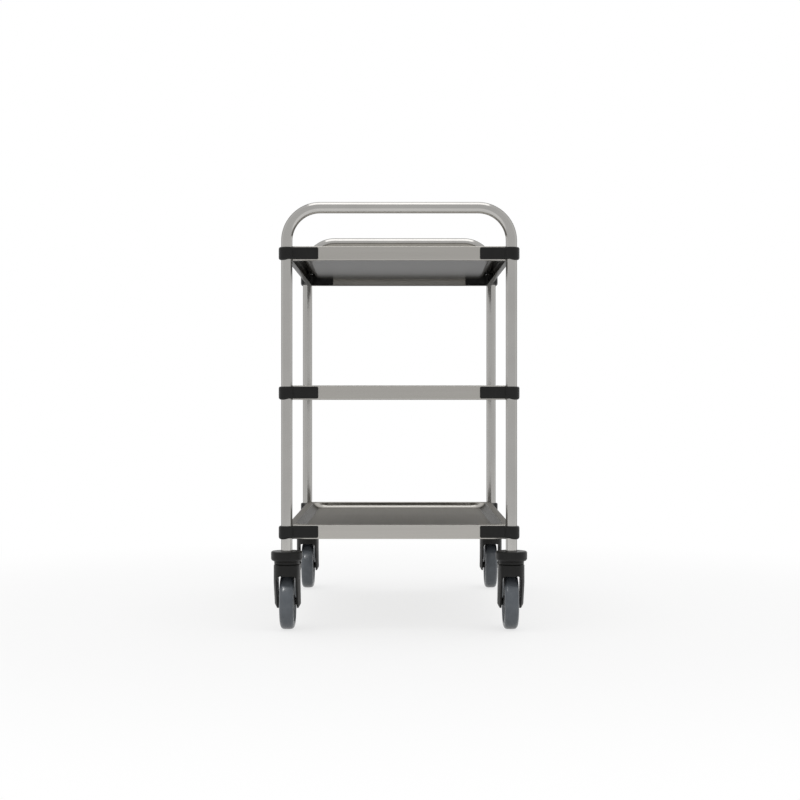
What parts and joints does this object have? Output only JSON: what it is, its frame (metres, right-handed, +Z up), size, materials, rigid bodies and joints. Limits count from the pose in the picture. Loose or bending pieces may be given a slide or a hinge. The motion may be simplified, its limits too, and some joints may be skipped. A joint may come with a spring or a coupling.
{
  "type": "serving trolley",
  "caption": "Tiered serving trolley: bent tube end frames, pressed steel shelves held by plastic corner clamps, and swivel casters with round bumpers.",
  "frame": {"origin": "on the floor under the centre of the four tubes", "axes": "+X across the trolley to the right, +Y along it to the rear, +Z up"},
  "size_m": [0.57, 0.9334, 0.955],
  "materials": {
    "polished_tube": "polished stainless tube",
    "stainless_sheet": "fine satin stainless sheet",
    "black_plastic": "satin moulded black plastic",
    "grey_rubber": "smooth blue-grey non-marking rubber",
    "core_plastic": "moulded grey plastic",
    "bush_plastic": "natural nylon",
    "black_rubber": "plain black rubber",
    "zinc_steel": "bright zinc plating",
    "black_steel": "blackened steel"
  },
  "bodies": {
    "frame": {"end_frame_front": "polished_tube", "end_frame_rear": "polished_tube", "shelf_top": "stainless_sheet", "corner_shells_top": "black_plastic", "corner_clamps_top": "black_plastic", "shelf_middle": "stainless_sheet", "corner_shells_middle": "black_plastic", "corner_clamps_middle": "black_plastic", "shelf_bottom": "stainless_sheet", "corner_shells_bottom": "black_plastic", "corner_clamps_bottom": "black_plastic", "corner_screws": "black_steel", "bumper_discs": "black_plastic", "swivel_heads": "black_plastic", "stem_bolts": "zinc_steel", "expander_sleeves": "black_rubber", "expander_nuts": "zinc_steel"},
    "caster_front_left": {"fork_front_left": "black_plastic", "axle_front_left": "zinc_steel"},
    "wheel_front_left": {"wheel_core_front_left": "core_plastic", "wheel_bush_front_left": "bush_plastic", "tyre_front_left": "grey_rubber"},
    "caster_front_right": {"fork_front_right": "black_plastic", "axle_front_right": "zinc_steel"},
    "wheel_front_right": {"wheel_core_front_right": "core_plastic", "wheel_bush_front_right": "bush_plastic", "tyre_front_right": "grey_rubber"},
    "caster_rear_left": {"fork_rear_left": "black_plastic", "axle_rear_left": "zinc_steel"},
    "wheel_rear_left": {"wheel_core_rear_left": "core_plastic", "wheel_bush_rear_left": "bush_plastic", "tyre_rear_left": "grey_rubber"},
    "caster_rear_right": {"fork_rear_right": "black_plastic", "axle_rear_right": "zinc_steel"},
    "wheel_rear_right": {"wheel_core_rear_right": "core_plastic", "wheel_bush_rear_right": "bush_plastic", "tyre_rear_right": "grey_rubber"},
    "pedal_rear_left": {"brake_pedal_rear_left": "black_plastic"},
    "pedal_rear_right": {"brake_pedal_rear_right": "black_plastic"}
  },
  "joints": [
    {"name": "swivel_front_left", "type": "hinge", "parent": "frame", "child": "caster_front_left", "pos_m": [-0.25, -0.4, 0.149], "axis": [0, 0, 1], "continuous": true},
    {"name": "roll_front_left", "type": "hinge", "parent": "caster_front_left", "child": "wheel_front_left", "pos_m": [-0.25, -0.364, 0.0625], "axis": [1, 0, 0], "continuous": true},
    {"name": "swivel_front_right", "type": "hinge", "parent": "frame", "child": "caster_front_right", "pos_m": [0.25, -0.4, 0.149], "axis": [0, 0, 1], "continuous": true},
    {"name": "roll_front_right", "type": "hinge", "parent": "caster_front_right", "child": "wheel_front_right", "pos_m": [0.25, -0.364, 0.0625], "axis": [1, 0, 0], "continuous": true},
    {"name": "swivel_rear_left", "type": "hinge", "parent": "frame", "child": "caster_rear_left", "pos_m": [-0.25, 0.4, 0.149], "axis": [0, 0, 1], "continuous": true},
    {"name": "roll_rear_left", "type": "hinge", "parent": "caster_rear_left", "child": "wheel_rear_left", "pos_m": [-0.25, 0.436, 0.0625], "axis": [1, 0, 0], "continuous": true},
    {"name": "swivel_rear_right", "type": "hinge", "parent": "frame", "child": "caster_rear_right", "pos_m": [0.25, 0.4, 0.149], "axis": [0, 0, 1], "continuous": true},
    {"name": "roll_rear_right", "type": "hinge", "parent": "caster_rear_right", "child": "wheel_rear_right", "pos_m": [0.25, 0.436, 0.0625], "axis": [1, 0, 0], "continuous": true},
    {"name": "brake_rear_left", "type": "hinge", "parent": "caster_rear_left", "child": "pedal_rear_left", "pos_m": [-0.25, 0.427, 0.139], "axis": [-1, 0, 0], "range_deg": [0, 25]},
    {"name": "brake_rear_right", "type": "hinge", "parent": "caster_rear_right", "child": "pedal_rear_right", "pos_m": [0.25, 0.427, 0.139], "axis": [-1, 0, 0], "range_deg": [0, 25]}
  ]
}
